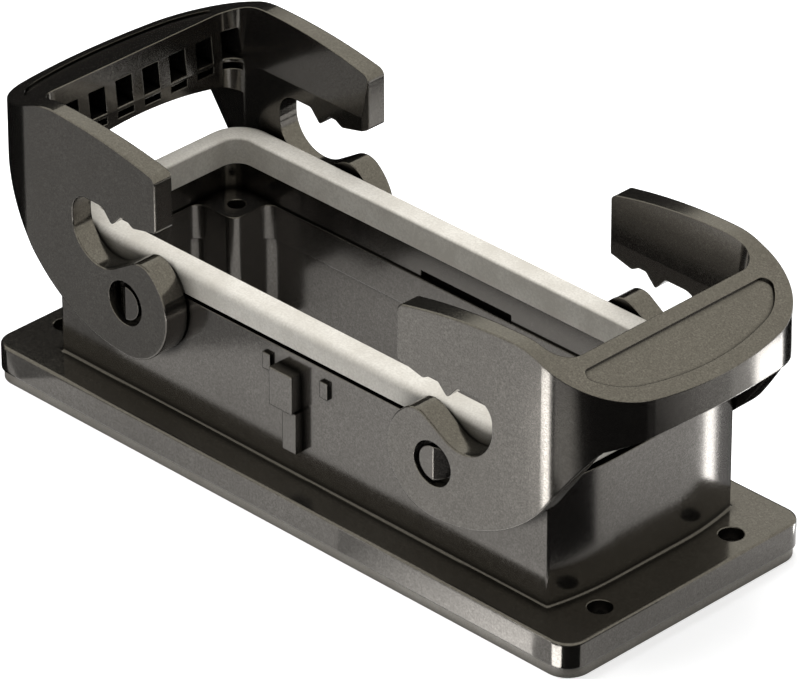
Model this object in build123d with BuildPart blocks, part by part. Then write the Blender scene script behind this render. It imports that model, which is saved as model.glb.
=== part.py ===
from build123d import *
import os
from math import cos, radians, sin, sqrt, tan

# Bulkhead housing of a heavy duty rectangular connector, with two locking levers.
# Millimetres. X runs along the housing, Z is up, and the origin is the middle of the
# underside, where the flange gasket meets the panel.

# Clearances and small radii
slide_gap = 0.3                 # lever ear beside the body wall
running_gap = 0.07              # pivot pin in the bore of the ear, on the radius
seal_gap = 0.1                  # rim seal around the tongue
screw_clearance = 0.25          # fixing screw in the flange, on the radius
edge_round = 0.5                # cast edges of the flange and the body
cut_margin = 1.0                # how far a cutting shape reaches past what it cuts
pick_tolerance = 0.01           # for choosing edges by their place

# Contact insert that the housing holds: the pattern of its four screws sets the cavity
insert_spacing_long = 104.0
insert_spacing_short = 27.0
insert_end_margin = 5.6         # from the thread axis to the end wall of the cavity
insert_side_margin = 4.8        # from the thread axis to the long wall of the cavity
insert_thread_core = 3.3
insert_thread_depth = 12.0
upper_cavity_radius = 3.5
seat_height = 17.8
seat_ledge = 0.4
boss_reach_in = 3.8             # from the thread axis to the boss side, along the housing
boss_reach_across = 4.4         # from the thread axis to the boss front, across it
boss_radius = 2.0
parting_height = 11.0           # where the upper and the lower core of the casting meet
lower_relief = 0.5
recess_length = 21.8
recess_height = 1.4
recess_depth = 1.2

# Body of the housing, a ring of walls on the flange
end_wall = 3.2
side_wall = 4.1
body_height = 23.8
end_flat_width = 16.0
end_fall_back = 1.8             # how far the bowed end stands back at the side edges

# Fixing screws and panel flange
fixing_screw_diameter = 4.0
fixing_end_gap = 4.2            # from the end of the body to the screw axis
fixing_spacing_short = 32.0
flange_end_margin = 5.3         # from the screw axis to the end of the flange
flange_side_margin = 6.6        # from the long wall to the side of the flange
flange_thickness = 5.0
flange_corner_radius = 4.0
gasket_thickness = 2.0
gasket_edge_inset = 0.2
gasket_corner_radius = 4.5

# Tongue on the rim, which carries the rim seal
tongue_end_setback = 1.4
tongue_side_setback = 1.6
tongue_thickness = 1.8
tongue_height = 2.9
tongue_corner_radius = 6.0

# Rim seal
seal_end_setback = 0.7
seal_side_setback = 0.1
seal_height = 5.1
seal_corner_radius = 7.0
seal_mouth_end_overhang = 1.8   # of the inner lip, past the end wall of the cavity
seal_mouth_side_overhang = 0.9
seal_mouth_radius = 3.4
seal_outer_lip_lift = 0.75
seal_crown_round = 1.4
seal_mouth_round = 0.5

# Moulded marks on the middle of the body's long walls
mark_root = 1.0                 # how deep they start inside the wall
block_width = 5.4
block_height = 7.35
block_depth = 2.4
block_top = 20.75
block_offset = -1.7
rib_width = 3.15
rib_depth = 1.9
rib_foot = 5.5
rib_offset = -0.2
tab_width = 1.8
tab_height = 3.2
tab_depth = 0.6
tab_foot = 18.4
tab_spacing = 13.8

# Lever pivots, cast on the body's long walls
pivot_setback = 23.7            # from the end of the body to the pivot axis
pivot_height = 20.7
pin_diameter = 8.3
pin_root_length = 3.2
pin_nose_diameter = 6.4
pin_nose_setback = 0.4
pin_ramp_angle = 30.0

# Locking lever: ears, lobe and locking slot, measured from the pivot
ear_thickness = 5.0
lobe_radius = 10.5
tip_reach = 8.1                 # from the pivot inwards to the face of the tip
tip_foot_height = 17.0
tip_top_height = 27.5
tip_corner_radius = 1.6
crown_reach = 20.5              # where the top of the ear turns down to the grip
crown_bow = 0.9
crown_blend_radius = 14.0
belly_reach = 24.2              # where the round underside ends and the straight heel starts
belly_height = 0.8
heel_setback = 6.1              # from the end of the grip to where the heel turns outwards
heel_height = 14.8
heel_radius = 4.0
slot_reach = 6.3                # centre of the round floor of the slot
slot_height = 11.7
slot_radius = 7.0
slot_roof_height = 16.7
slot_end_radius = 3.7
flank_angle = 32.0              # degrees, from the lobe down into the slot
lobe_shoulder_radius = 4.0
tooth_reach = 3.2
tooth_height = 14.1
tooth_back_reach = 5.5
tooth_front_reach = 0.9
notch_reach = 0.7
notch_height = 16.5
notch_foot_reach = 2.3
notch_foot_height = 15.6
tooth_round = 0.5
slot_root_round = 1.0
ear_edge_round = 0.25
lead_in_height = 9.0            # of the sloping inner faces, down from the top of the grip
lead_in_angle = 6.0             # degrees from upright
tip_bevel = 0.9                 # on the inner edges of the tips

# Locking lever: grip, with its heights measured above the flange
grip_gap = 2.2                  # from the end of the body to the grip's inner edge
grip_run = 14.2                 # from the inner edge to the outer end
grip_side_taper = 1.1           # how far each side stands in at the end of the grip
grip_end_bow = 5.1              # how far the bowed end would fall back at the sides
grip_corner_radius = 15.0
grip_inner_corner_radius = 3.5
grip_top_height = 49.2          # at the inner edge
grip_top_fall = 20.9            # degrees, outwards
grip_foot_inner_height = 37.2
grip_foot_outer_height = 38.1
grip_foot_side_height = 37.2    # of the ears, where they end in the rounded corners
grip_arch_inner_rise = 3.5      # of the underside, at its inner edge
grip_arch_outer_rise = 1.5
pad_inner_inset = 2.5
pad_outer_inset = 2.8
pad_end_radius = 1.5
pad_depth = 0.5
pocket_pitch = 6.4
pocket_count = 6
pocket_width = 3.8
pocket_depth = 9.0
pocket_skin = 3.5               # left below the top of the grip
pocket_foot_height = 38.4
pocket_shelf_height = 39.7
pocket_shelf_thickness = 0.8
corner_pocket_width = 2.6
corner_pocket_depth = 4.0

# Sizes that follow from the ones above
upper_cavity_length = insert_spacing_long + 2 * insert_end_margin
upper_cavity_width = insert_spacing_short + 2 * insert_side_margin
body_length = upper_cavity_length + 2 * end_wall
body_width = upper_cavity_width + 2 * side_wall
fixing_spacing_long = body_length + 2 * fixing_end_gap
flange_length = fixing_spacing_long + 2 * flange_end_margin
flange_width = body_width + 2 * flange_side_margin
tongue_length = body_length - 2 * tongue_end_setback
tongue_width = body_width - 2 * tongue_side_setback
seal_length = body_length - 2 * seal_end_setback
seal_width = body_width - 2 * seal_side_setback
seal_mouth_length = upper_cavity_length - 2 * seal_mouth_end_overhang
seal_mouth_width = upper_cavity_width - 2 * seal_mouth_side_overhang
grip_inner_reach = body_length / 2 + grip_gap
grip_outer_reach = grip_inner_reach + grip_run

# Heights above the panel
flange_bottom = gasket_thickness
flange_top = flange_bottom + flange_thickness
seat_z = flange_top + seat_height
parting_z = flange_top + parting_height
shoulder_z = flange_top + body_height
pivot_z = flange_top + pivot_height
pivot_x = body_length / 2 - pivot_setback
ear_inner_y = body_width / 2 + slide_gap
ear_outer_y = ear_inner_y + ear_thickness
fixing_hole_diameter = fixing_screw_diameter + 2 * screw_clearance
bore_diameter = pin_diameter + 2 * running_gap
grip_top_z = flange_top + grip_top_height
lever_foot_z = pivot_z - lobe_radius - cut_margin
lever_head_z = grip_top_z + crown_blend_radius
lead_in_z = grip_top_z - lead_in_height


def rounded_ring(length, width, radius, inner_length, inner_width, inner_radius):
    """Plan of a ring between two rounded rectangles."""
    with BuildSketch() as ring:
        RectangleRounded(length, width, radius)
        RectangleRounded(inner_length, inner_width, inner_radius, mode=Mode.SUBTRACT)
    return ring.sketch


def body_plan():
    """Plan of the body: straight sides, and bowed ends that meet them at a sharp edge."""
    side_x = body_length / 2 - end_fall_back
    side_y = body_width / 2
    flat_y = end_flat_width / 2
    with BuildSketch() as plan:
        with BuildLine():
            side = Line((-side_x, side_y), (side_x, side_y))
            mirror(side, about=Plane.XZ)
            flat = Line((body_length / 2, -flat_y), (body_length / 2, flat_y))
            bow = TangentArc((body_length / 2, flat_y), (side_x, side_y), tangent=(0, 1))
            opposite_bow = mirror(bow, about=Plane.XZ)
            mirror([flat, bow, opposite_bow], about=Plane.YZ)
        make_face()
    return plan.sketch


def seat_plan(relief):
    """Plan of the cavity below the insert seat: the walls stand out by relief, the bosses stay."""
    length = upper_cavity_length - 2 * seat_ledge + 2 * relief
    width = upper_cavity_width - 2 * seat_ledge + 2 * relief
    side_x = insert_spacing_long / 2 - boss_reach_in
    side_y = insert_spacing_short / 2 - boss_reach_across
    boss_length = length / 2 - side_x
    boss_width = width / 2 - side_y
    boss_x = side_x + boss_length / 2
    boss_y = side_y + boss_width / 2
    with BuildSketch() as plan:
        Rectangle(length, width)
        with GridLocations(2 * boss_x, 2 * boss_y, 2, 2):
            Rectangle(boss_length, boss_width, mode=Mode.SUBTRACT)
        fillet(plan.vertices(), boss_radius)
    return plan.sketch


def wall_marks():
    """Raised block, rib and two tabs on the middle of one long wall, facing -Y."""
    root_y = body_width / 2 - mark_root
    with BuildPart() as marks:
        with BuildSketch(Plane.XZ.offset(root_y)):
            with Locations((block_offset, flange_top + block_top - block_height / 2)):
                Rectangle(block_width, block_height)
        extrude(amount=mark_root + block_depth)
        with BuildSketch(Plane.XZ.offset(root_y)):
            rib_top = block_top - block_height
            with Locations((rib_offset, flange_top + (rib_foot + rib_top) / 2)):
                Rectangle(rib_width, rib_top - rib_foot)
        extrude(amount=mark_root + rib_depth)
        with BuildSketch(Plane.XZ.offset(root_y)):
            with Locations((0, flange_top + tab_foot + tab_height / 2)):
                with GridLocations(tab_spacing, 1, 2, 1):
                    Rectangle(tab_width, tab_height)
        extrude(amount=mark_root + tab_depth)
    return marks.part


def pivot_pin():
    """Cast pivot pin at the right end of the near wall: a full root, and a nose with a ramp."""
    wall_y = body_width / 2
    nose_y = ear_outer_y - pin_nose_setback
    ramp_drop = pin_diameter * tan(radians(pin_ramp_angle))
    with BuildPart() as pin:
        with BuildSketch(Plane.XZ.offset(wall_y)):
            with Locations((pivot_x, pivot_z)):
                Circle(pin_diameter / 2)
        extrude(amount=pin_root_length)
        with BuildSketch(Plane.XZ.offset(wall_y)):
            with Locations((pivot_x, pivot_z)):
                Circle(pin_nose_diameter / 2)
        extrude(amount=nose_y - wall_y)
        ramp = Plane(origin=(pivot_x, -nose_y, pivot_z), z_dir=(0, 0, 1))
        with BuildSketch(ramp):
            with BuildLine():
                Polyline((0, 0), (pin_diameter, ramp_drop), (pin_diameter, 0), close=True)
            make_face()
        extrude(amount=pin_diameter, both=True, mode=Mode.SUBTRACT)
    return pin.part


# The die cast housing: flange, body, tongue, cavity, bosses, pivots and marks
with BuildPart() as housing:
    with BuildSketch(Plane.XY.offset(flange_bottom)):
        RectangleRounded(flange_length, flange_width, flange_corner_radius)
    extrude(amount=flange_thickness)
    fillet(housing.faces().sort_by(Axis.Z)[-1].edges(), edge_round)
    with BuildSketch(Plane.XY.offset(flange_bottom)):
        add(body_plan())
    extrude(amount=flange_thickness + body_height)
    upright_edges = housing.edges().filter_by(Axis.Z).group_by(SortBy.LENGTH)[-1]
    fillet(upright_edges, edge_round)
    at_flange = housing.edges().filter_by_position(
        Axis.Z, flange_top - pick_tolerance, flange_top + pick_tolerance
    )
    foot_x = body_length / 2 + pick_tolerance
    foot_y = body_width / 2 + pick_tolerance
    foot = at_flange.filter_by_position(Axis.X, -foot_x, foot_x)
    foot = foot.filter_by_position(Axis.Y, -foot_y, foot_y)
    fillet(foot, edge_round)

    # Tongue that carries the seal
    with BuildSketch(Plane.XY.offset(shoulder_z)):
        add(
            rounded_ring(
                tongue_length,
                tongue_width,
                tongue_corner_radius,
                tongue_length - 2 * tongue_thickness,
                tongue_width - 2 * tongue_thickness,
                tongue_corner_radius - tongue_thickness,
            )
        )
    extrude(amount=tongue_height)

    # Cavity: upper part down to the seat, then the two cores below it
    with BuildSketch(Plane.XY.offset(seat_z)):
        RectangleRounded(upper_cavity_length, upper_cavity_width, upper_cavity_radius)
    extrude(amount=shoulder_z - seat_z, mode=Mode.SUBTRACT)
    with BuildSketch(Plane.XY.offset(parting_z)):
        add(seat_plan(0))
    extrude(amount=seat_z - parting_z, mode=Mode.SUBTRACT)
    with BuildSketch(Plane.XY.offset(flange_bottom)):
        add(seat_plan(lower_relief))
    extrude(amount=parting_z - flange_bottom, mode=Mode.SUBTRACT)

    # Shallow recess in both long walls, on top of the seat ledge
    with BuildSketch(Plane.XY.offset(seat_z)):
        Rectangle(recess_length, upper_cavity_width + 2 * recess_depth)
    extrude(amount=recess_height, mode=Mode.SUBTRACT)

    # Threads for the insert and holes for the fixing screws
    with BuildSketch(Plane.XY.offset(seat_z)):
        with GridLocations(insert_spacing_long, insert_spacing_short, 2, 2):
            Circle(insert_thread_core / 2)
    extrude(amount=-insert_thread_depth, mode=Mode.SUBTRACT)
    with BuildSketch(Plane.XY.offset(flange_bottom)):
        with GridLocations(fixing_spacing_long, fixing_spacing_short, 2, 2):
            Circle(fixing_hole_diameter / 2)
    extrude(amount=flange_thickness, mode=Mode.SUBTRACT)

    # Marks on both long walls and the four pivot pins
    marks = wall_marks()
    add(marks)
    add(marks.rotate(Axis.Z, 180))
    near_pin = pivot_pin()
    for pin in (near_pin, near_pin.mirror(Plane.XZ)):
        add(pin)
        mirror(pin, about=Plane.YZ)


# The flat gasket between the flange and the panel
with BuildPart() as flange_gasket:
    with BuildSketch():
        RectangleRounded(
            flange_length - 2 * gasket_edge_inset,
            flange_width - 2 * gasket_edge_inset,
            gasket_corner_radius,
        )
        add(seat_plan(lower_relief), mode=Mode.SUBTRACT)
        with GridLocations(fixing_spacing_long, fixing_spacing_short, 2, 2):
            Circle(fixing_hole_diameter / 2, mode=Mode.SUBTRACT)
    extrude(amount=gasket_thickness)


# The rim seal: a soft ring with a groove for the tongue and two lips
with BuildPart() as rim_seal:
    with BuildSketch(Plane.XY.offset(shoulder_z)):
        add(
            rounded_ring(
                seal_length,
                seal_width,
                seal_corner_radius,
                seal_mouth_length,
                seal_mouth_width,
                seal_mouth_radius,
            )
        )
    extrude(amount=seal_height)
    crown = rim_seal.faces().sort_by(Axis.Z)[-1]
    fillet(crown.outer_wire().edges(), seal_crown_round)
    fillet(rim_seal.faces().sort_by(Axis.Z)[-1].inner_wires()[0].edges(), seal_mouth_round)
    groove_length = tongue_length + 2 * seal_gap
    groove_width = tongue_width + 2 * seal_gap
    groove_radius = tongue_corner_radius + seal_gap
    groove_thickness = tongue_thickness + 2 * seal_gap
    with BuildSketch(Plane.XY.offset(shoulder_z)):
        add(
            rounded_ring(
                groove_length,
                groove_width,
                groove_radius,
                groove_length - 2 * groove_thickness,
                groove_width - 2 * groove_thickness,
                groove_radius - groove_thickness,
            )
        )
    extrude(amount=tongue_height, mode=Mode.SUBTRACT)
    with BuildSketch(Plane.XY.offset(shoulder_z)):
        Rectangle(seal_length + cut_margin, seal_width + cut_margin)
        RectangleRounded(groove_length, groove_width, groove_radius, mode=Mode.SUBTRACT)
    extrude(amount=seal_outer_lip_lift, mode=Mode.SUBTRACT)


def lever_profile():
    """Side view of the right lever, with the pivot at the origin and the grip to the right."""
    fall = tan(radians(grip_top_fall))
    inner_x = grip_inner_reach - pivot_x
    inner_z = grip_top_height - pivot_height
    outer_x = grip_outer_reach - pivot_x
    tip_foot = (-tip_reach, tip_foot_height)
    tip_top = (-tip_reach, tip_top_height)
    crown = (crown_reach, inner_z + fall * (inner_x - crown_reach))
    crown_middle = ((crown_reach - tip_reach) / 2, (tip_top_height + crown[1]) / 2 + crown_bow)
    outer_top = (outer_x, inner_z - fall * (outer_x - inner_x))
    outer_foot = (outer_x, grip_foot_side_height - pivot_height)
    heel = (outer_x - heel_setback, heel_height)
    belly = (belly_reach, belly_height)

    # The flank is a straight line that touches the round floor of the slot
    flank = radians(flank_angle)
    flank_foot = (slot_reach - slot_radius * sin(flank), slot_height - slot_radius * cos(flank))
    along = flank_foot[0] * cos(flank) - flank_foot[1] * sin(flank)
    apart = flank_foot[0] * sin(flank) + flank_foot[1] * cos(flank)
    flank_run = along + sqrt(lobe_radius**2 - apart**2)
    shoulder = (flank_foot[0] - flank_run * cos(flank), flank_foot[1] + flank_run * sin(flank))
    slot_end_x = slot_reach + slot_radius
    slot_corner = (slot_end_x, slot_roof_height)
    tooth_back = (tooth_back_reach, slot_roof_height)
    tooth = (tooth_reach, tooth_height)
    tooth_front = (tooth_front_reach, notch_height)
    notch = (-notch_reach, notch_height)
    notch_foot = (-notch_foot_reach, notch_foot_height)
    with BuildSketch() as profile:
        with BuildLine():
            Line(tip_foot, tip_top)
            ThreePointArc(tip_top, crown_middle, crown)
            Polyline(crown, outer_top, outer_foot, heel, belly)
            TangentArc((0, -lobe_radius), belly, tangent=(1, 0))
            ThreePointArc((0, -lobe_radius), (-lobe_radius, 0), shoulder)
            Line(shoulder, flank_foot)
            TangentArc(
                flank_foot, (slot_end_x, slot_height), tangent=(cos(flank), -sin(flank))
            )
            Polyline((slot_end_x, slot_height), slot_corner, tooth_back, tooth)
            Polyline(tooth, tooth_front, notch, notch_foot, tip_foot)
        make_face()
        rounds = (
            (tip_top, tip_corner_radius),
            (tip_foot, tooth_round),
            (crown, crown_blend_radius),
            (heel, heel_radius),
            (shoulder, lobe_shoulder_radius),
            (slot_corner, slot_end_radius),
            (tooth_back, slot_root_round),
            (tooth, tooth_round),
            (tooth_front, tooth_round),
            (notch, tooth_round),
            (notch_foot, slot_root_round),
        )
        for corner, radius in rounds:
            fillet(profile.vertices().sort_by_distance((corner[0], corner[1], 0))[0], radius)
    return profile.sketch


def lever_plan(inset):
    """Plan of the right lever: ears that close in a little and a bowed, rounded end, less an inset."""
    start_x = pivot_x - lobe_radius - tip_corner_radius
    start_y = ear_outer_y - inset
    end_y = start_y - grip_side_taper
    end_x = grip_outer_reach - inset
    with BuildSketch() as plan:
        with BuildLine():
            near_side = Line((start_x, -start_y), (end_x - grip_end_bow, -end_y))
            far_side = mirror(near_side, about=Plane.XZ)
            ThreePointArc(near_side @ 1, (end_x, 0), far_side @ 1)
            Line(near_side @ 0, far_side @ 0)
        make_face()
        fillet(plan.vertices().group_by(Axis.X)[-1], grip_corner_radius - inset)
    return plan.sketch


def grip_top_plane(depth):
    """Plane parallel to the sloping top of the grip, depth below it."""
    slope = radians(grip_top_fall)
    normal = Vector(sin(slope), 0, cos(slope))
    return Plane(origin=Vector(grip_inner_reach, 0, grip_top_z) - normal * depth, z_dir=normal)


def arch_section(reach, height, rise):
    """Section of the free space below the grip, at a distance from the middle of the housing."""
    with BuildSketch(Plane.YZ.offset(reach)) as section:
        with BuildLine():
            ThreePointArc((-ear_inner_y, height - rise), (0, height), (ear_inner_y, height - rise))
            Polyline(
                (ear_inner_y, height - rise),
                (ear_inner_y, lever_foot_z),
                (-ear_inner_y, lever_foot_z),
                (-ear_inner_y, height - rise),
            )
        make_face()
    return section.sketch


def span_plan():
    """Plan of the free space between the ears, up to the inner face of the grip."""
    reach = grip_inner_reach - lead_in_height * tan(radians(lead_in_angle))
    with BuildSketch() as plan:
        with Locations((reach / 2, 0)):
            Rectangle(reach, 2 * ear_inner_y)
        fillet(plan.vertices().group_by(Axis.X)[-1], grip_inner_corner_radius)
    return plan.sketch


def tip_bevel_plan():
    """Plan of the cut that bevels the inner edges of both tips."""
    edge_x = pivot_x - tip_reach + tip_bevel
    start = tip_bevel + cut_margin
    with BuildSketch() as plan:
        with BuildLine():
            bevel = Line((edge_x - start, ear_inner_y + start), (edge_x, ear_inner_y))
            opposite_bevel = mirror(bevel, about=Plane.XZ)
            Line(bevel @ 1, opposite_bevel @ 1)
            Line(bevel @ 0, opposite_bevel @ 0)
        make_face()
    return plan.sketch


def grip_pockets():
    """Cores of the moulded pockets, open towards the middle of the housing."""
    open_x = grip_inner_reach - grip_inner_corner_radius
    upper_foot = pocket_shelf_height + pocket_shelf_thickness
    heights = (
        (flange_top + pocket_foot_height, flange_top + pocket_shelf_height),
        (flange_top + upper_foot, flange_top + grip_top_height),
    )
    rows = (
        (pocket_pitch, pocket_count, pocket_width, pocket_depth),
        (2 * ear_inner_y - corner_pocket_width, 2, corner_pocket_width, corner_pocket_depth),
    )
    with BuildPart() as cores:
        for pitch, count, width, depth in rows:
            with BuildSketch(Plane.YZ.offset(open_x)):
                for foot, head in heights:
                    with Locations((0, (foot + head) / 2)):
                        with GridLocations(pitch, 1, count, 1):
                            Rectangle(width, head - foot)
            extrude(amount=grip_inner_reach - open_x + depth)
        split(bisect_by=grip_top_plane(pocket_skin), keep=Keep.BOTTOM)
    return cores.part


def grip_pad():
    """Shallow half-moon recess in the top of the grip, where the thumb presses."""
    pad_x = grip_inner_reach + pad_inner_inset
    with BuildPart() as pad:
        with BuildSketch(Plane.XY.offset(flange_top + pocket_foot_height)) as outline:
            add(lever_plan(pad_outer_inset))
            with Locations((pad_x / 2, 0)):
                Rectangle(pad_x, 2 * ear_outer_y, mode=Mode.SUBTRACT)
            fillet(outline.vertices().group_by(Axis.X)[0], pad_end_radius)
        extrude(amount=grip_top_height - pocket_foot_height)
        split(bisect_by=grip_top_plane(pad_depth), keep=Keep.TOP)
    return pad.part


# The right locking lever, one moulding: two ears joined by the grip
lever_plane = Plane(origin=(pivot_x, 0, pivot_z), x_dir=(1, 0, 0), z_dir=(0, -1, 0))
with BuildPart() as right_locking_lever:
    with BuildSketch(lever_plane):
        add(lever_profile())
    extrude(amount=ear_outer_y, both=True)
    with BuildSketch(Plane.XY.offset(lever_foot_z)):
        add(lever_plan(0))
    extrude(amount=lever_head_z - lever_foot_z, mode=Mode.INTERSECT)
    sides = right_locking_lever.faces().sort_by(Axis.Y)
    side_edges = sides[0].edges() + sides[-1].edges()
    fillet(side_edges.filter_by(Axis.Z, reverse=True), ear_edge_round)
    with BuildSketch(lever_plane):
        Circle(bore_diameter / 2)
    extrude(amount=ear_outer_y, both=True, mode=Mode.SUBTRACT)

    # Space between the ears, with round corners at the grip; its upper part leans outwards
    with BuildSketch(Plane.XY.offset(lever_foot_z)):
        add(span_plan())
    extrude(amount=lead_in_z - lever_foot_z, mode=Mode.SUBTRACT)
    with BuildSketch(Plane.XY.offset(lead_in_z)):
        add(span_plan())
    extrude(amount=lever_head_z - lead_in_z, taper=-lead_in_angle, mode=Mode.SUBTRACT)
    with BuildSketch(Plane.XY.offset(pivot_z + notch_foot_height)):
        add(tip_bevel_plan())
    extrude(amount=lever_head_z - pivot_z - notch_foot_height, mode=Mode.SUBTRACT)

    # Arch below the grip
    loft(
        [
            arch_section(
                grip_inner_reach - grip_inner_corner_radius,
                flange_top + grip_foot_inner_height,
                grip_arch_inner_rise,
            ),
            arch_section(
                grip_outer_reach + cut_margin,
                flange_top + grip_foot_outer_height,
                grip_arch_outer_rise,
            ),
        ],
        mode=Mode.SUBTRACT,
    )
    add(grip_pockets(), mode=Mode.SUBTRACT)
    add(grip_pad(), mode=Mode.SUBTRACT)


# The left lever is the same moulding, turned to face the other way
with BuildPart() as left_locking_lever:
    mirror(right_locking_lever.part, about=Plane.YZ)


os.makedirs("parts", exist_ok=True)
housing.part.label = "housing"
export_step(housing.part, "parts/housing.step")
flange_gasket.part.label = "flange_gasket"
export_step(flange_gasket.part, "parts/flange_gasket.step")
rim_seal.part.label = "rim_seal"
export_step(rim_seal.part, "parts/rim_seal.step")
right_locking_lever.part.label = "right_locking_lever"
export_step(right_locking_lever.part, "parts/right_locking_lever.step")
left_locking_lever.part.label = "left_locking_lever"
export_step(left_locking_lever.part, "parts/left_locking_lever.step")
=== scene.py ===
from math import cos, radians, sin

import bmesh
import bpy
from bpy.props import FloatProperty, FloatVectorProperty, PointerProperty
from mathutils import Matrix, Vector

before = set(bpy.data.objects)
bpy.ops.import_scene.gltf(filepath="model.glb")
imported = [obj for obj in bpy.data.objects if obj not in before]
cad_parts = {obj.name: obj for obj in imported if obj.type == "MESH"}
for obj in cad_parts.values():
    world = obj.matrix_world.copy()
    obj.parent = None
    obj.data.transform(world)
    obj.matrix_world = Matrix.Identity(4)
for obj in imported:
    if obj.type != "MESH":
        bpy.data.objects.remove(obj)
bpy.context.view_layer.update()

bl_info = {
    "name": "Connector housing with locking levers",
    "version": (1, 0, 0),
    "blender": (4, 5, 0),
    "location": "3D View > Sidebar > Connector",
    "description": "Finishes for a bulkhead connector housing, its levers and seals, and a studio",
    "category": "Object",
}

MM = 0.001
WHITE = (1, 1, 1, 1)

# Sockets of the Mix node for colours and for vectors: two inputs and the output
COLOUR_A, COLOUR_B, COLOUR_OUT = 6, 7, 2
VECTOR_A, VECTOR_B, VECTOR_OUT = 4, 5, 1

# Dark skins: where on its noise or cells a pattern sets in and is full, and how much of the
# flakes' colour it then brings. Between the clouds that much of the grains is left
GRAIN_START, GRAIN_FULL, GRAIN_SHARE = 0.34, 0.66, 0.8
CELL_START, CELL_FULL, CELL_SHARE = 0.7, 1.0, 0.4
CLOUD_START, CLOUD_FULL, CLOUD_LEAST = 0.3, 0.7, 0.7
# The bright cells are a little wider than the grains
CELLS_PER_GRAIN = 0.8
# How much rougher a grain is than the skin round it, and its height as a share of its size
GRAIN_ROUGHENS = 0.06
GRAIN_HEIGHT = 0.25
# Cosine between the rounded and the true normal at which rubbing sets in and is full, and
# how much of the worn colour it then brings
EDGE_START, EDGE_FULL, EDGE_SHARE = 0.985, 0.90, 0.25

# Rubber: where on its noise the pores' shade is full and gone, and the width of a soft
# patch in pores
PORE_FULL, PORE_GONE = 0.16, 0.38
PATCH_PORES = 16
# Where on its noise it is smoothest and roughest, and by how much either way
SMOOTH_AT, ROUGH_AT = 0.3, 0.7
PORE_SMOOTHS, PORE_ROUGHENS = 0.06, 0.1
# Depth of a pore as a share of its size
PORE_DEPTH = 0.2
RUBBER_IOR = 1.5

# Share of open air round a point at which the painted shade of a crevice is full, and where it
# ends
DARK_CREVICE = 0.55, 0.95
RUBBER_CREVICE = 0.4, 0.92
CREVICE_SAMPLES = 8
EDGE_SAMPLES = 6

# Glow of the floor and of the sky where the camera or gloss sees them; 1 is white
FLOOR_SEEN = 0.7
SKY_SEEN = 1.5

# Heights of the cards in millimetres: a higher one covers a lower one
GREY_LAYER, BLACK_LAYER, SOFT_LAYER, WHITE_LAYER = 0.1, 0.2, 0.3, 0.4

# Lamp above and behind the left shoulder, in millimetres
KEY_PLACE, KEY_TARGET, KEY_SIZE = (-350, 100, 900), (0, 0, 20), 900

# Camera: width of the sensor in millimetres, and nearest and farthest view in metres
SENSOR_WIDTH = 36
NEAREST, FARTHEST = 0.05, 50


def linear(code):
    """Linear colour of an sRGB hex code."""
    parts = [int(code[i : i + 2], 16) / 255 for i in (1, 3, 5)]
    return [v / 12.92 if v <= 0.04045 else ((v + 0.055) / 1.055) ** 2.4 for v in parts]


def colour(name, code, description):
    """Colour property with its default given as a hex code."""
    return FloatVectorProperty(
        name=name, description=description, subtype="COLOR", size=3, min=0, max=1,
        default=linear(code),
    )


def share(name, value, description):
    """Property for a share from 0 to 1."""
    return FloatProperty(
        name=name, description=description, subtype="FACTOR", min=0, max=1, default=value
    )


def length(name, value, description):
    """Length property, with its default in millimetres."""
    return FloatProperty(
        name=name, description=description, subtype="DISTANCE", unit="LENGTH",
        precision=5, default=value * MM,
    )


class CastingSettings(bpy.types.PropertyGroup):
    """Paint of the housing"""

    base: colour("Paint", "#4e4b47", "Colour of the paint where the flakes lie deep")
    flake: colour("Flakes", "#676460", "Colour of the paint where the flakes show")
    # Painted shade: this colour is mixed in where near faces shut the light out of the crevices
    painted_crevice_shade: colour("Crevices", "#1b1916", "Colour of the paint in the crevices")
    metal: share("Metal share", 0.86, "How much the flakes shine like metal")
    worn: colour("Worn edges", "#7c7972", "Colour of the paint where edges are rubbed")
    crevice: length("Crevice", 2.0, "How far a crevice reaches from its corner")
    grain: length("Grain", 0.3, "Size of the grain of the painted skin")
    cloud: length("Clouds", 9.0, "Size of the soft uneven patches in the paint")
    roughness: share("Roughness", 0.13, "Roughness of the paint between its grains")
    edge: length("Edge", 0.35, "Width of the rubbed edges")


class LeverSettings(bpy.types.PropertyGroup):
    """Plastic of the levers"""

    base: colour("Plastic", "#4f4c48", "Colour of the plastic where the mica lies deep")
    flake: colour("Mica", "#696661", "Colour of the plastic where the mica shows")
    # Painted shade: this colour is mixed in where near faces shut the light out of the crevices
    painted_crevice_shade: colour("Crevices", "#191714", "Colour of the plastic in the crevices")
    metal: share("Metal share", 0.9, "How much the mica shines like metal")
    worn: colour("Worn edges", "#7a776f", "Colour of the plastic where edges are rubbed")
    crevice: length("Crevice", 1.0, "How far a crevice reaches from its corner")
    grain: length("Grain", 0.28, "Size of the grain of the moulded skin")
    cloud: length("Clouds", 7.0, "Size of the soft uneven patches in the plastic")
    roughness: share("Roughness", 0.12, "Roughness of the plastic between its grains")
    edge: length("Edge", 0.3, "Width of the rubbed edges")


class RubberSettings(bpy.types.PropertyGroup):
    """Rubber of the rim seal and the flange gasket"""

    seal: colour("Rim seal", "#e9e5dc", "Colour of the soft seal on the rim")
    seal_shade: colour("Rim seal shade", "#d2cdc3", "Colour of the seal's uneven patches")
    gasket: colour("Flange gasket", "#dcd6cb", "Colour of the gasket below the flange")
    gasket_shade: colour("Flange gasket shade", "#bfb8ac", "Colour of the gasket's pores")
    # Painted shade: this colour is mixed in where near faces shut the light out of the rubber's
    # crevices
    painted_crevice_shade: colour("Crevices", "#3a3732", "Colour of the rubber where it is shut in")
    crevice: length("Crevice", 5.0, "How far a crevice reaches from its corner")
    grain: length("Pores", 0.4, "Size of the pores and of the dull grain of the skin")
    roughness: share("Roughness", 0.5, "Roughness of the rubber")


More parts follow.
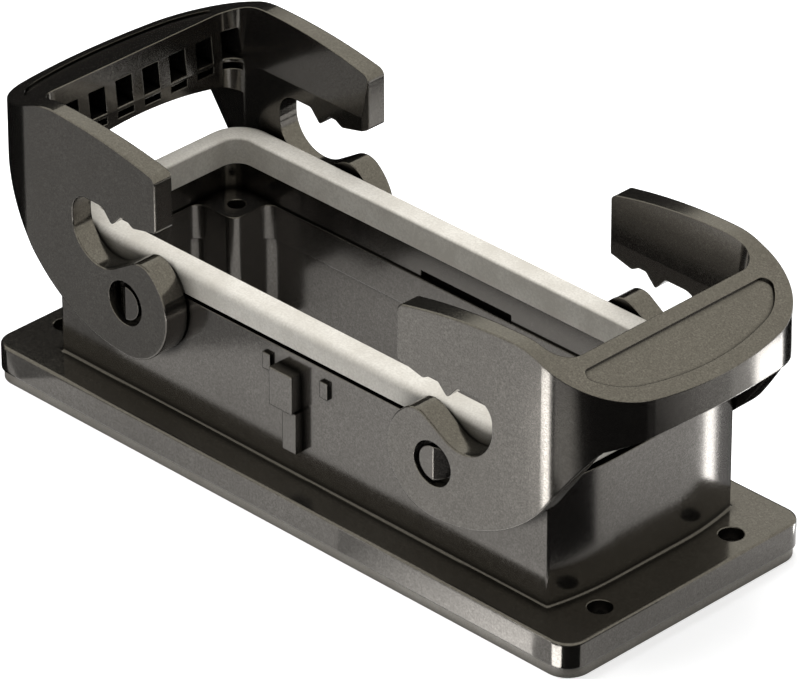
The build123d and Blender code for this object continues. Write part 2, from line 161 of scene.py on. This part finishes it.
class StudioSettings(bpy.types.PropertyGroup):
    """Camera, floor and light"""

    azimuth: FloatProperty(
        name="Azimuth", description="Turn of the camera round the object, from its near long side",
        subtype="ANGLE", unit="ROTATION", default=radians(44.947),
    )
    elevation: FloatProperty(
        name="Elevation", description="Height of the camera above the horizon",
        subtype="ANGLE", unit="ROTATION", default=radians(30.739),
    )
    distance: length("Distance", 1269.6, "From the camera to what it looks at")
    aim: FloatVectorProperty(
        name="Aim", description="Point that the camera looks at", subtype="XYZ", unit="LENGTH",
        size=3, precision=5, default=(-4.38 * MM, 6.49 * MM, 19.93 * MM),
    )
    lens: FloatProperty(
        name="Lens", description="Focal length of the camera", unit="CAMERA", default=331.97
    )
    floor: colour("Floor", "#ebebeb", "Colour of the floor")
    floor_size: length("Floor size", 9000.0, "Length of the floor's sides")
    sky: FloatProperty(
        name="Sky", description="Strength of the even light from all round",
        min=0, default=0.18,
    )
    key: FloatProperty(
        name="Key light", description="Power of the large lamp above", unit="POWER",
        min=0, default=12.0,
    )
    sheets: FloatProperty(
        name="Light sheets", min=0, default=11.0,
        description="Strength of the sheets on the floor that draw the bright bands",
    )
    warm: colour("Warm light", "#fffcee", "Colour of the sky where gloss shows it")


def node(tree, kind, inputs=(), **settings):
    """Adds a shader node with its settings, and gives inputs a value or an output to follow.

    Inputs are named by their name, or by their number where a node has several of one name.
    """
    made = tree.nodes.new("ShaderNode" + kind)
    for name, value in settings.items():
        setattr(made, name, value)
    for name, value in dict(inputs).items():
        if isinstance(value, bpy.types.NodeSocket):
            tree.links.new(value, made.inputs[name])
        else:
            made.inputs[name].default_value = value
    return made


def empty_material(name):
    """New material without nodes."""
    material = bpy.data.materials.new(name)
    material.use_nodes = True
    material.node_tree.nodes.clear()
    return material


def open_air(tree, look, crevice):
    """Output that is 0 in crevices, where near faces shut the light out, and 1 outside."""
    shut, clear = crevice
    nearby = node(tree, "AmbientOcclusion", {"Distance": look.crevice}, samples=CREVICE_SAMPLES)
    outside = node(
        tree, "MapRange", {"Value": nearby.outputs["AO"], "From Min": shut, "From Max": clear}
    )
    return outside.outputs[0]


def close_skin(tree, look, outside, clean, values):
    """Paints shade into the crevices of a clean colour and ends the tree in a surface with values.
    """
    # Painted shade: the crevice colour is mixed in where little open air is round a point
    skin = node(
        tree, "Mix", {0: outside, COLOUR_A: (*look.painted_crevice_shade, 1), COLOUR_B: clean}, data_type="RGBA"
    )
    surface = node(tree, "BsdfPrincipled", {"Base Color": skin.outputs[COLOUR_OUT], **values})
    node(tree, "OutputMaterial", {"Surface": surface.outputs[0]})


def grained(name, look, relief):
    """Dark moulded or painted skin: bright grains, soft clouds, rubbed edges, painted shade in the
    crevices.
    """
    material = empty_material(name)
    tree = material.node_tree
    place = node(tree, "TexCoord").outputs["Object"]
    fine = node(
        tree, "TexNoise",
        {"Vector": place, "Scale": 1 / look.grain, "Detail": 2.0, "Roughness": 0.62},
    )
    cells = node(tree, "TexVoronoi", {"Vector": place, "Scale": CELLS_PER_GRAIN / look.grain})
    clouds = node(
        tree, "TexNoise",
        {"Vector": place, "Scale": 1 / look.cloud, "Detail": 3.0, "Roughness": 0.55},
    )

    # Soft grains with a few brighter cells, stronger in some clouds than in others
    peaks = node(
        tree, "MapRange",
        {"Value": fine.outputs["Fac"], "From Min": GRAIN_START, "From Max": GRAIN_FULL,
         "To Max": GRAIN_SHARE},
    )
    cell_value = node(tree, "SeparateColor", {"Color": cells.outputs["Color"]})
    bright = node(
        tree, "MapRange",
        {"Value": cell_value.outputs[0], "From Min": CELL_START, "From Max": CELL_FULL,
         "To Max": CELL_SHARE},
    )
    grains = node(
        tree, "Math", {0: peaks.outputs[0], 1: bright.outputs[0]}, operation="ADD",
        use_clamp=True,
    )
    cloudy = node(
        tree, "MapRange",
        {"Value": clouds.outputs["Fac"], "From Min": CLOUD_START, "From Max": CLOUD_FULL,
         "To Min": CLOUD_LEAST},
    )
    amount = node(
        tree, "Math", {0: grains.outputs[0], 1: cloudy.outputs[0]}, operation="MULTIPLY"
    ).outputs[0]
    skin = node(
        tree, "Mix", {0: amount, COLOUR_A: (*look.base, 1), COLOUR_B: (*look.flake, 1)},
        data_type="RGBA",
    )

    # Edges are where the rounded normal leaves the true one, outside the crevices
    # This open air share also paints shade into the crevices, in close_skin
    outside = open_air(tree, look, DARK_CREVICE)
    rounded = node(tree, "Bevel", {"Radius": look.edge}, samples=EDGE_SAMPLES).outputs[0]
    true = node(tree, "NewGeometry").outputs["Normal"]
    same = node(tree, "VectorMath", {0: rounded, 1: true}, operation="DOT_PRODUCT")
    edge = node(
        tree, "MapRange",
        {"Value": same.outputs["Value"], "From Min": EDGE_START, "From Max": EDGE_FULL,
         "To Max": EDGE_SHARE},
    )
    rubbed = node(tree, "Math", {0: edge.outputs[0], 1: outside}, operation="MULTIPLY")
    clean = node(
        tree, "Mix",
        {0: rubbed.outputs[0], COLOUR_A: skin.outputs[COLOUR_OUT], COLOUR_B: (*look.worn, 1)},
        data_type="RGBA",
    )
    normal = node(
        tree, "Mix", {0: outside, VECTOR_A: true, VECTOR_B: rounded}, data_type="VECTOR"
    )

    rough = node(
        tree, "MapRange",
        {"Value": amount, "To Min": look.roughness, "To Max": look.roughness + GRAIN_ROUGHENS},
    )
    bumps = node(
        tree, "Bump",
        {"Height": fine.outputs["Fac"], "Normal": normal.outputs[VECTOR_OUT],
         "Strength": relief, "Distance": look.grain * GRAIN_HEIGHT},
    )
    close_skin(
        tree, look, outside, clean.outputs[COLOUR_OUT],
        {"Roughness": rough.outputs[0], "Normal": bumps.outputs[0], "Metallic": look.metal},
    )
    return material


def rubbery(name, main, shade, look, relief):
    """Pale moulded rubber: dull, a little uneven in colour, with fine pores."""
    material = empty_material(name)
    tree = material.node_tree
    place = node(tree, "TexCoord").outputs["Object"]
    fine = node(
        tree, "TexNoise",
        {"Vector": place, "Scale": 1 / look.grain, "Detail": 3.0, "Roughness": 0.6},
    )
    patches = node(
        tree, "TexNoise",
        {"Vector": place, "Scale": 1 / (PATCH_PORES * look.grain), "Detail": 3.0},
    )
    both = node(
        tree, "Math", {0: fine.outputs["Fac"], 1: patches.outputs["Fac"]}, operation="MULTIPLY"
    )
    amount = node(
        tree, "MapRange",
        {"Value": both.outputs[0], "From Min": PORE_FULL, "From Max": PORE_GONE},
    )
    skin = node(
        tree, "Mix", {0: amount.outputs[0], COLOUR_A: (*shade, 1), COLOUR_B: (*main, 1)},
        data_type="RGBA",
    )
    rough = node(
        tree, "MapRange",
        {"Value": fine.outputs["Fac"], "From Min": SMOOTH_AT, "From Max": ROUGH_AT,
         "To Min": look.roughness - PORE_SMOOTHS, "To Max": look.roughness + PORE_ROUGHENS},
    )
    bumps = node(
        tree, "Bump",
        {"Height": fine.outputs["Fac"], "Strength": relief,
         "Distance": look.grain * PORE_DEPTH},
    )
    # Painted shade is mixed into the rubber's crevices here, where little open air is round a
    # point
    close_skin(
        tree, look, open_air(tree, look, RUBBER_CREVICE), skin.outputs[COLOUR_OUT],
        {"Roughness": rough.outputs[0], "Normal": bumps.outputs[0], "IOR": RUBBER_IOR},
    )
    return material


def dress(material, *names):
    """Gives CAD nodes a material."""
    for name in names:
        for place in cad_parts[name].material_slots:
            place.material = material


class CastingFinish(bpy.types.Operator):
    """Paint the die cast housing"""

    bl_idname = "connector.casting_finish"
    bl_label = "Housing finish"

    def execute(self, context):
        look = context.scene.connector_casting
        # Aluminium die casting, powder coated with fine metallic flakes: a dark warm grey
        # that glitters softly and mirrors what is bright around it. The real flakes are
        # under 0.1 mm, too fine to show, so the grain is drawn three times as coarse
        dress(grained("die_cast_aluminium_powder_coated", look, relief=0.03), "housing")
        return {"FINISHED"}


class LeverFinish(bpy.types.Operator):
    """Finish the two locking levers"""

    bl_idname = "connector.lever_finish"
    bl_label = "Lever finish"

    def execute(self, context):
        look = context.scene.connector_lever
        # Glass filled polyamide with mica, moulded in a spark eroded tool: as dark as the
        # housing, with light drawn into bands on its faces and round corners. The real
        # grain is about 0.1 mm, too fine to show, so it is drawn nearly three times as coarse
        plastic = grained("polyamide_glass_filled_moulded", look, relief=0.025)
        dress(plastic, "right_locking_lever", "left_locking_lever")
        return {"FINISHED"}


class RubberFinish(bpy.types.Operator):
    """Finish the rim seal and the flange gasket"""

    bl_idname = "connector.rubber_finish"
    bl_label = "Seal finish"

    def execute(self, context):
        look = context.scene.connector_rubber
        # Nitrile rubber, compression moulded: ivory and dull, with a soft highlight. The
        # real skin is finer than the pores that are drawn on it, and wouldn't show
        seal = rubbery("nitrile_rubber_moulded", look.seal, look.seal_shade, look, relief=0.15)
        dress(seal, "rim_seal")
        # Foamed nitrile rubber, punched from sheet: a little darker, with open pores
        foam = rubbery("foamed_rubber_punched", look.gasket, look.gasket_shade, look, relief=0.4)
        dress(foam, "flange_gasket")
        return {"FINISHED"}


def looked_at(tree, path):
    """Output that is 1 where the camera, gloss or a clear material looks, and else 0."""
    seen = path.outputs["Is Camera Ray"]
    for ray in ("Is Glossy Ray", "Is Transmission Ray"):
        seen = node(
            tree, "Math", {0: seen, 1: path.outputs[ray]}, operation="MAXIMUM"
        ).outputs[0]
    return seen


def backdrop_material(look):
    """White floor that shows as white to the camera and in gloss, and keeps the shadow."""
    material = empty_material("paper_sweep_matt")
    tree = material.node_tree
    seen = looked_at(tree, node(tree, "LightPath"))
    matt = node(tree, "BsdfDiffuse", {"Color": (*look.floor, 1)})
    lift = node(tree, "Math", {0: seen, 1: FLOOR_SEEN}, operation="MULTIPLY")
    glow = node(tree, "Emission", {"Color": WHITE, "Strength": lift.outputs[0]})
    both = node(tree, "AddShader", {0: matt.outputs[0], 1: glow.outputs[0]})
    node(tree, "OutputMaterial", {"Surface": both.outputs[0]})
    return material


def card_material(name, tone):
    """Matt card of an even grey, from 0 for black to 1 for white."""
    material = empty_material(name)
    tree = material.node_tree
    matt = node(tree, "BsdfDiffuse", {"Color": (tone, tone, tone, 1)})
    node(tree, "OutputMaterial", {"Surface": matt.outputs[0]})
    return material


def glow_material(name, strength):
    """Sheet that glows evenly."""
    material = empty_material(name)
    tree = material.node_tree
    glow = node(tree, "Emission", {"Color": WHITE, "Strength": strength})
    node(tree, "OutputMaterial", {"Surface": glow.outputs[0]})
    return material


def graded_material(name, axis, places, strengths):
    """Sheet whose glow changes between two places on X or Y, in millimetres."""
    material = empty_material(name)
    tree = material.node_tree
    spot = node(tree, "TexCoord").outputs["Object"]
    parts = node(tree, "SeparateXYZ", {"Vector": spot})
    level = node(
        tree, "MapRange",
        {"Value": parts.outputs[axis], "From Min": places[0] * MM, "From Max": places[1] * MM,
         "To Min": strengths[0], "To Max": strengths[1]},
    )
    glow = node(tree, "Emission", {"Color": WHITE, "Strength": level.outputs[0]})
    node(tree, "OutputMaterial", {"Surface": glow.outputs[0]})
    return material


def stage_object(name, shape, material):
    """Object from a bmesh, with one material, in the scene."""
    mesh = bpy.data.meshes.new(name)
    shape.to_mesh(mesh)
    shape.free()
    mesh.materials.append(material)
    made = bpy.data.objects.new(name, mesh)
    bpy.context.scene.collection.objects.link(made)
    return made


def card(name, corners, material):
    """Flat card through corner points, in millimetres, which only reflections show."""
    shape = bmesh.new()
    shape.faces.new([shape.verts.new(Vector(corner) * MM) for corner in corners])
    made = stage_object(name, shape, material)
    made.visible_camera = False
    made.visible_diffuse = False
    made.visible_shadow = False


def lay_dark_cards(black):
    """Cards that take the white floor and sky out of gloss.

    They are named for what mirrors them, or for the side that they lie on.
    """
    grey = card_material("grey_card_matt", tone=0.5)
    flat = (
        ("corner_card", black, BLACK_LAYER, (
            (68, -30), (57, -45), (34, -80), (0, -200), (0, -500), (500, -500), (500, 315),
            (80.5, 2.7), (80.5, -23), (71, -26),
        )),
        ("inner_card", black, BLACK_LAYER, ((-60, 32), (12, 32), (12, 78), (-60, 78))),
        ("heel_card", black, BLACK_LAYER, ((33, 32), (60, 32), (72, 74), (40, 74))),
        ("left_card", black, BLACK_LAYER, ((-66, -30), (-62, 60), (-500, 500), (-500, -280))),
        ("front_card", grey, GREY_LAYER, (
            (-66, -31), (-40, -60), (-60, -140), (-200, -400), (-500, -400), (-500, -280),
        )),
    )
    for name, material, height, places in flat:
        card(name, [(x, y, height) for x, y in places], material)

    # This one stands upright behind the left end
    foot = (-500, -300), (-100, 600)
    top = 225
    card(
        "back_card",
        [(*foot[0], 0), (*foot[1], 0), (*foot[1], top), (*foot[0], top)], black,
    )


def lay_light_sheets(look, black):
    """Sheets that draw the light bands in gloss, named for what mirrors them."""
    corner = graded_material("corner_sheet", "X", places=(66, 90), strengths=(1.0, 0.03))
    grip = graded_material("grip_sheet", "Y", places=(12, 48), strengths=(0.08, 0.95))
    half = glow_material("half_sheet", strength=0.5)
    flange = graded_material("flange_sheet", "X", places=(15, 56), strengths=(0.9, 5.0))
    white = glow_material("light_sheet", look.sheets)
    flat = (
        # Soft sides of the bands, one of them with a black card, and the flange's near edge
        ("corner_graded", corner, SOFT_LAYER, (
            (60, -66), (56, -79), (42, -82), (30, -120), (114, -120), (92, -66),
        )),
        ("grip_graded", grip, SOFT_LAYER, (
            (120, 0), (175, 0), (160, 60), (142, 80), (112, 44),
        )),
        ("wall_half", half, SOFT_LAYER, (
            (60, 32), (66, 34), (69.5, 38), (86.5, 73.5), (72, 74),
        )),
        ("grip_half", half, SOFT_LAYER, ((88, 85), (91, 99), (93, 112), (80, 112), (80, 82))),
        ("grip_card", black, SOFT_LAYER, ((80, 82), (80, 112), (38, 120), (38, 86))),
        ("flange_graded", flange, SOFT_LAYER, ((15, -30), (61, -30), (55, -36.4), (9, -36.4))),
        # White middles of the bands
        ("lever_band", white, WHITE_LAYER, (
            (4, -100), (12, -89), (20, -80), (28.5, -70), (35, -61),
            (41, -68), (36, -76.9), (29.7, -88.4), (23.2, -100), (16, -112),
        )),
        ("wall_band", white, WHITE_LAYER, ((72, 32.6), (69.9, 37.4), (87, 72.8), (91.9, 66.1))),
        ("grip_band", white, WHITE_LAYER, (
            (118.5, 82.2), (109.1, 90.7), (97, 97), (91, 99), (88, 85),
            (94, 82), (103.2, 76.7), (111.1, 69),
        )),
        ("flange_band", white, WHITE_LAYER, (
            (65.1, -31.2), (60.8, -37.4), (70.5, -38.6), (68.7, -31.3),
        )),
    )
    for name, material, height, places in flat:
        card(name, [(x, y, height) for x, y in places], material)


def hang_sky(look):
    """Even light from all round, which is white where it is seen directly or in gloss."""
    world = bpy.data.worlds.new("studio")
    world.use_nodes = True
    tree = world.node_tree
    tree.nodes.clear()
    path = node(tree, "LightPath")
    level = node(
        tree, "MapRange", {"Value": looked_at(tree, path), "To Min": look.sky, "To Max": SKY_SEEN}
    )
    tint = node(
        tree, "Mix",
        {0: path.outputs["Is Glossy Ray"], COLOUR_A: WHITE, COLOUR_B: (*look.warm, 1)},
        data_type="RGBA",
    )
    sky = node(
        tree, "Background", {"Color": tint.outputs[COLOUR_OUT], "Strength": level.outputs[0]}
    )
    node(tree, "OutputWorld", {"Surface": sky.outputs[0]})
    bpy.context.scene.world = world


def hang_key(look):
    """Large square lamp, which gloss doesn't show."""
    data = bpy.data.lights.new("key", "AREA")
    data.shape = "SQUARE"
    data.size = KEY_SIZE * MM
    data.energy = look.key
    key = bpy.data.objects.new("key", data)
    key.location = Vector(KEY_PLACE) * MM
    way = Vector(KEY_TARGET) - Vector(KEY_PLACE)
    key.rotation_euler = way.to_track_quat("-Z", "Y").to_euler()
    key.visible_glossy = False
    bpy.context.scene.collection.objects.link(key)


def place_camera(look):
    """Camera at the photograph's angle and distance, turned to its aim."""
    around, up = look.azimuth, look.elevation
    back = Vector((sin(around) * cos(up), -cos(around) * cos(up), sin(up)))
    data = bpy.data.cameras.new("camera")
    data.sensor_fit = "HORIZONTAL"
    data.sensor_width = SENSOR_WIDTH
    data.lens = look.lens
    data.clip_start = NEAREST
    data.clip_end = FARTHEST
    camera = bpy.data.objects.new("camera", data)
    camera.location = Vector(look.aim) + back * look.distance
    camera.rotation_euler = (-back).to_track_quat("-Z", "Y").to_euler()
    bpy.context.scene.collection.objects.link(camera)
    bpy.context.scene.camera = camera


class Studio(bpy.types.Operator):
    """Make the floor, the light and the camera"""

    bl_idname = "connector.studio"
    bl_label = "Studio"

    def execute(self, context):
        look = context.scene.connector_studio
        context.scene.view_settings.view_transform = "Standard"

        shape = bmesh.new()
        bmesh.ops.create_grid(shape, x_segments=1, y_segments=1, size=look.floor_size / 2)
        floor = stage_object("floor", shape, backdrop_material(look))

        black = card_material("black_card_matt", tone=0.0)
        lay_dark_cards(black)
        hang_sky(look)
        hang_key(look)
        lay_light_sheets(look, black)
        place_camera(look)
        return {"FINISHED"}


class ConnectorPanel(bpy.types.Panel):
    """Lists the finishes and the studio with their settings"""

    bl_idname = "VIEW3D_PT_connector"
    bl_label = "Connector housing"
    bl_space_type = "VIEW_3D"
    bl_region_type = "UI"
    bl_category = "Connector"

    def draw(self, context):
        rows = (
            (CastingFinish, context.scene.connector_casting),
            (LeverFinish, context.scene.connector_lever),
            (RubberFinish, context.scene.connector_rubber),
            (Studio, context.scene.connector_studio),
        )
        for operator, settings in rows:
            box = self.layout.box()
            box.operator(operator.bl_idname)
            for name in settings.bl_rna.properties.keys():
                if name not in ("name", "rna_type"):
                    box.prop(settings, name)


SETTINGS = {
    "connector_casting": CastingSettings,
    "connector_lever": LeverSettings,
    "connector_rubber": RubberSettings,
    "connector_studio": StudioSettings,
}
CLASSES = (*SETTINGS.values(), CastingFinish, LeverFinish, RubberFinish, Studio, ConnectorPanel)


def register():
    """Adds the classes, and their settings to the scene."""
    for kind in CLASSES:
        bpy.utils.register_class(kind)
    for name, kind in SETTINGS.items():
        setattr(bpy.types.Scene, name, PointerProperty(type=kind))


def unregister():
    """Takes the settings and the classes away again."""
    for name in SETTINGS:
        delattr(bpy.types.Scene, name)
    for kind in reversed(CLASSES):
        bpy.utils.unregister_class(kind)


def main():
    """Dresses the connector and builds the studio."""
    register()
    bpy.ops.connector.casting_finish()
    bpy.ops.connector.lever_finish()
    bpy.ops.connector.rubber_finish()
    bpy.ops.connector.studio()
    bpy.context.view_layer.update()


if __name__ == "__main__":
    main()
